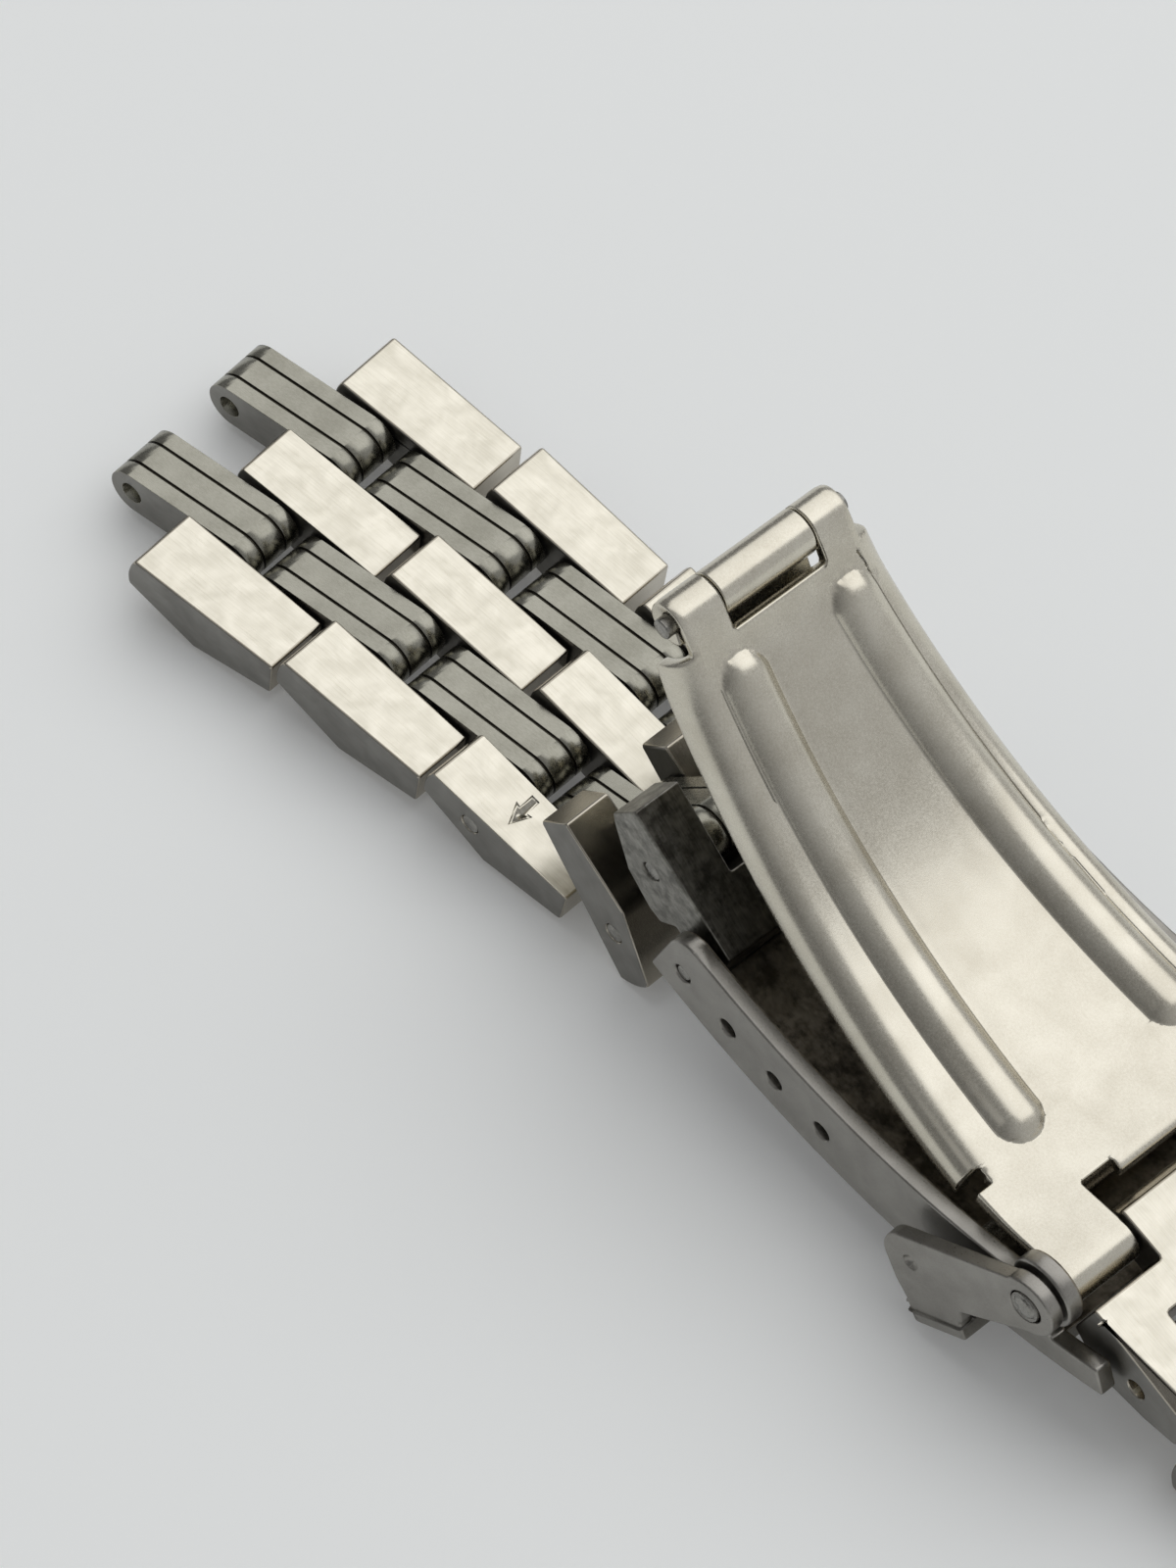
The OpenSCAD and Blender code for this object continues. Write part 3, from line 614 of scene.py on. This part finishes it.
bm.to_mesh(rivets.data)
bm.free()
bpy.data.objects.remove(other)
smooth(rivets)
keep(dress(rivets, ["ground_pin"], plain_faces))

keep(dress(rounded("blade_1", 0.1), ["bead_blasted_blade", "rubbed_edge_and_highlight"], plain_faces))


# Upper blade. Its sheet, the curls round its pins and the stretch over which it meets them:
SHEET_T, SHEET_OFF, THINNED = 0.8, 0.45, 0.18
CURL_OUT, CURL_IN, CURL_DEG, CURL_MEET = 1.15, 0.53, 285, 3.6
# Places along it: the middle plate, the sides, the cuts from both sides at which the rolled part
# ends, and the shoulders beside the middle plate's end, which is pressed down by 0.3 mm
MID_FROM, MID_TO, SIDE_FROM, SIDE_CUT, SIDE_CUT_TO = 1.5, 31, 1.6, 27.2, 28.1
STRIP_FROM, STRIP_TO, SHOULDER = 2.6, 27.7, 30.4
PRESS_FROM, PRESS_TO, PRESS_LEN, PRESS = 30.3, 31.05, 0.7, 0.3
# Across it: half its width at the fold and what it gains, the roll's radius and the outer shoulder
HALF_FOLD, HALF_GAIN, ROLL, SIDE_START = 5.7, 2.2, 1.3, 4.4
SHOULDER_IN, SHOULDER_OUT = (30.3, 2.1), (30.2, 3.95)
# Ribs: where they start, how long, half as wide and as high they are, and the crease at their foot
RIB_FROM, RIB_LEN, RIB_HALF, RIB_H, RIB_REF = 3.85, 22.6, 1.3, 0.62, 4
CREASE, CREASE_HALF = 0.05, 0.1
# For each side the fork's place, the rib's place at u = 4 and its slope outwards
RIBS = {-1: (2.5, 2.95, 0.049), 1: (2.9, 3.55, 0.071)}
# Cells across the blade: in the middle plate, and in each side's rib strip and plain strip
MID_CELLS, RIB_CELLS, PLAIN_CELLS, CURL_CELLS = 14, 26, 7, 30
OFF_START, OFF_END = -1.0, 40.0
ROLL_TURN = np.radians([17.92, 32, 46, 60, 75, 90])
FLANGE = np.array([1.6, 1.9])
SIDE_POINTS = len(ROLL_TURN) + len(FLANGE)


def blade_line():
    """The upper blade seen from its side: places along it, its outer and its inner line. Between
    the pins both lines are arcs about one centre, and near a pin a smooth step moves them to meet
    the curl, which is an arc about the pin. Points on the curls have a place off the blade."""
    length = BLADE2_LEN
    radius = (length ** 2 / 4 + BLADE_SAG ** 2) / (2 * BLADE_SAG)
    centre = np.array([length / 2, SHEET_OFF + radius - BLADE_SAG])
    foot = math.atan2(centre[0], centre[1])
    first = length / 2 - radius * math.sin(foot)
    knots = [first, MID_FROM, SIDE_FROM, 3, 5.4, 24.5, SIDE_CUT_TO, SHOULDER, MID_TO,
             length - first]
    u = steps(knots, [0.2, 0.1, 0.2, 0.12, 0.22, 0.12, 0.2, 0.1, 0.2])
    u = np.unique(np.append(u, SIDE_CUT))
    turn = np.arcsin((u - length / 2) / radius)
    up = np.column_stack([-np.sin(turn), np.cos(turn)])
    near = np.clip(1 - np.minimum(u - first, length - first - u) / CURL_MEET, 0, 1)
    near = near * near * (3 - 2 * near)
    over_pin = math.hypot(*centre) - radius + SHEET_T / 2
    top = centre - (radius - SHEET_T / 2 - (CURL_OUT - over_pin) * near)[:, None] * up
    low = top - (SHEET_T - THINNED * near)[:, None] * up
    swing = np.linspace(0, math.radians(CURL_DEG), CURL_CELLS + 1)[1:]
    swing = math.pi / 2 + foot - swing
    spoke = np.column_stack([np.cos(swing), np.sin(swing)])
    pin, flip = np.array([length, 0]), np.array([-1, 1])
    lines = []
    for line, r in ((top, CURL_OUT), (low, CURL_IN)):
        curl = pin + r * spoke
        lines.append(np.vstack([(pin + flip * curl)[::-1], line, curl]))
    at = np.concatenate([np.full(CURL_CELLS, OFF_START), u, np.full(CURL_CELLS, OFF_END)])
    return at, *lines


def blade_side(s, at, thick):
    """One side of the upper blade: the middle plate's edge, then places across the blade and depths
    under its outer line, each for the outer and the inner face. From the plate's edge on come the
    rib's strip, a plain strip, the roll as a quarter circle and the flange below it."""
    fork, begin, slope = RIBS[s]
    line = begin + slope * (np.array([STRIP_FROM, STRIP_TO]) - RIB_REF)
    inner = np.interp(at, [MID_FROM, STRIP_FROM, STRIP_TO, SHOULDER_IN[0]],
                      [fork, *(line - RIB_HALF), SHOULDER_IN[1]])
    outer = np.interp(at, [SIDE_FROM, STRIP_FROM, STRIP_TO, SHOULDER_OUT[0]],
                      [SIDE_START, *(line + RIB_HALF), SHOULDER_OUT[1]])
    half = HALF_FOLD + HALF_GAIN * np.clip(at, SIDE_FROM, SIDE_CUT) / SIDE_CUT
    share = [np.linspace(0, 1, n + 1)[1:] for n in (RIB_CELLS, PLAIN_CELLS)]
    strip = np.hstack([inner[:, None] + (outer - inner)[:, None] * share[0],
                       outer[:, None] + (half - ROLL - outer)[:, None] * share[1]])
    rolled = (at < STRIP_TO)[:, None]
    edge = (half - ROLL)[:, None]
    flat = edge + np.append(0.4, np.linspace(0.4, ROLL, SIDE_POINTS)[1:])
    places, depths = [], []
    for r, rest in ((np.full_like(edge, ROLL), np.zeros_like(edge)),
                    ((ROLL - thick)[:, None], thick[:, None])):
        round_v = np.hstack([edge + r * np.sin(ROLL_TURN), np.repeat(edge + r, len(FLANGE), 1)])
        round_d = np.hstack([ROLL - r * np.cos(ROLL_TURN), np.tile(FLANGE, (len(at), 1))])
        places.append(np.hstack([strip, np.where(rolled, round_v, flat)]))
        depths.append(np.hstack([np.zeros_like(strip) + rest, np.where(rolled, round_d, rest)]))
    return inner, places, depths


def rib_rise(at, v):
    """Height of both ribs over the outer face. Over the distance from a rib's middle line, its
    rounded ends included, it is that of a circle through both feet, less a crease at the foot."""
    ball = (RIB_HALF ** 2 + RIB_H ** 2) / (2 * RIB_H)
    rise = 0
    for s, (_, begin, slope) in RIBS.items():
        way = np.array([1, slope]) / math.hypot(1, slope)
        away = np.stack([np.broadcast_to(at[:, None], v.shape), s * v], -1)
        away = away - np.array([RIB_FROM, begin + slope * (RIB_FROM - RIB_REF)])
        dist = np.linalg.norm(away - np.clip(away @ way, 0, RIB_LEN)[..., None] * way, axis=-1)
        rise = rise + np.sqrt(ball ** 2 - np.minimum(dist, RIB_HALF) ** 2) - (ball - RIB_H)
        rise = rise - CREASE * np.clip(1 - np.abs(dist - RIB_HALF) / CREASE_HALF, 0, 1)
    return rise


def upper_blade():
    """The upper blade as one pressed sheet: the section across it of blade_side, laid at each place
    along blade_line square to it, with the ribs raised on it and the cells of its notches left
    out."""
    at, top, low = blade_line()
    thick = np.linalg.norm(top - low, axis=1)
    up = (top - low) / thick[:, None]
    (left, v0, d0), (right, v1, d1) = [blade_side(s, at, thick) for s in (-1, 1)]
    share = np.linspace(0, 1, MID_CELLS + 1)
    mid = -left[:, None] + (left + right)[:, None] * share
    across = [np.hstack([-a[:, ::-1], mid, b]) for a, b in zip(v0, v1)]
    rest = [np.zeros_like(mid), np.repeat(thick[:, None], mid.shape[1], 1)]
    depth = [np.hstack([a[:, ::-1], f, b]) for a, f, b in zip(d0, rest, d1)]

    raised = rib_rise(at, across[0]) * (depth[0] < 0.01)
    pressed = np.where((at > PRESS_FROM) & (at < PRESS_TO),
                       ((at - PRESS_FROM) / PRESS_LEN) ** 2 * PRESS, 0)
    pressed = pressed[:, None] * np.pad(np.ones(mid.shape[1]), v0[0].shape[1])
    grids = []
    for d, v in zip(depth, across):
        d = d - raised + pressed
        grids.append(np.dstack([top[:, 0, None] - d * up[:, 0, None], v,
                                top[:, 1, None] - d * up[:, 1, None]]))

    # Cells: u is the middle of each along the blade, band is 0 in the middle plate, 1 in a rib's
    # strip, 2 in a plain strip and 3 in the roll and the flange
    u = (at[1:] + at[:-1])[:, None] / 2
    u[:CURL_CELLS], u[-CURL_CELLS:] = OFF_START, OFF_END
    side = np.repeat([1, 2, 3], [RIB_CELLS, PLAIN_CELLS + 1, SIDE_POINTS - 1])
    band = np.concatenate([side[::-1], np.zeros(MID_CELLS, int), side])
    cells = (u > SIDE_FROM) | (band == 1) | (band == 2)
    cells &= (u > MID_FROM) | (band > 0)
    cells &= (u < SIDE_CUT) | (u > SIDE_CUT_TO) | (band < 3)
    cells &= (u < SHOULDER) | (band != 1)
    cells &= (u < MID_TO) | (band != 0)
    return formed_sheet("steel_blade_2", on_blade_2, *grids, cells)


blade = upper_blade()
blade["piece"] = "blade_2"
keep(dress(soften(blade, 0.1, angle=60), ["bead_blasted_blade", "rubbed_edge_and_highlight"], plain_faces))

# Pins and the spring bar
for name in nodes:
    if name.endswith(("_pins", "_pin")) or name.startswith(("hinge_pin", "spring_bar")):
        edge = 0.04 if name.startswith("spring") else 0.07
        keep(dress(rounded(name, edge), ["ground_pin", "rubbed_edge_and_highlight"], plain_faces))


# Table: matt and pale. What the camera and the steel see of it is lifted a little by an even glow,
# which lights nothing else.
TABLE_HALF, TABLE_GLOW = 3, 0.1
ground = min(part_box(n)[0].z for n in nodes)
table = solid("table", [(x * TABLE_HALF, y * TABLE_HALF, ground)
                        for x, y in ((-1, -1), (1, -1), (1, 1), (-1, 1))], [(0, 1, 2, 3)])
paper = bpy.data.materials.new("matt_table")
paper.use_nodes = True
board = paper.node_tree.nodes["Principled BSDF"]
board.inputs["Base Color"].default_value = linear("#F0F2F1")
board.inputs["Roughness"].default_value = 0.7
board.inputs["Emission Color"].default_value = (1, 1, 1, 1)
seen = add(paper.node_tree, "ShaderNodeLightPath")
shows = add(paper.node_tree, "ShaderNodeMath",
            [(0, seen.outputs["Is Camera Ray"]), (1, seen.outputs["Is Glossy Ray"])],
            operation="MAXIMUM")
lift = add(paper.node_tree, "ShaderNodeMath", [(0, shows.outputs[0])], operation="MULTIPLY")
lift.inputs[1].default_value = TABLE_GLOW
paper.node_tree.links.new(lift.outputs[0], board.inputs["Emission Strength"])
table.data.materials.append(paper)

# World: pale all round, brighter on one side, which gives the steel its long soft gradients
BRIGHT_SIDE, ROOM_DIM, ROOM_BRIGHT = (0.75, 0.6, 0.1), 0.22, 0.62
world = bpy.data.worlds.new("studio")
scene.world = world
world.use_nodes = True
sky = world.node_tree
where = add(sky, "ShaderNodeTexCoord")
toward = add(sky, "ShaderNodeVectorMath", [(0, where.outputs["Generated"])],
             operation="DOT_PRODUCT")
toward.inputs[1].default_value = BRIGHT_SIDE
level = add(sky, "ShaderNodeMapRange", [("Value", toward.outputs["Value"])],
            From_Min=-0.3, From_Max=1.0, To_Min=ROOM_DIM, To_Max=ROOM_BRIGHT)
sky.links.new(level.outputs[0], sky.nodes["Background"].inputs["Strength"])
sky.nodes["Background"].inputs["Color"].default_value = linear("#F4F5F7")


def softbox(name, azimuth, elevation, distance, size, strength):
    """An area lamp that faces the object. Its azimuth and elevation are in degrees from the
    object's middle, azimuth 0 being towards -Y, and its distance and size are in metres."""
    lamp = bpy.data.lights.new(name, "AREA")
    lamp.shape, lamp.size, lamp.size_y = "RECTANGLE", size[0], size[1]
    lamp.energy = strength * math.pi * size[0] * size[1]
    obj = bpy.data.objects.new(name, lamp)
    scene.collection.objects.link(obj)
    a, e = math.radians(azimuth), math.radians(elevation)
    back = Vector((math.sin(a) * math.cos(e), -math.cos(a) * math.cos(e), math.sin(e)))
    middle = Vector((45, -3, 3)) * MM
    obj.location = middle + back * distance
    obj.rotation_euler = (-back).to_track_quat("-Z", "Y").to_euler()


CAMERA_SIDE = 41.15
softbox("key", CAMERA_SIDE + 147, 60, 0.8, (1.4, 1.1), 0.92)
softbox("fill", CAMERA_SIDE - 60, 50, 1.0, (0.4, 0.4), 0.3)

scene.view_settings.view_transform = "Standard"
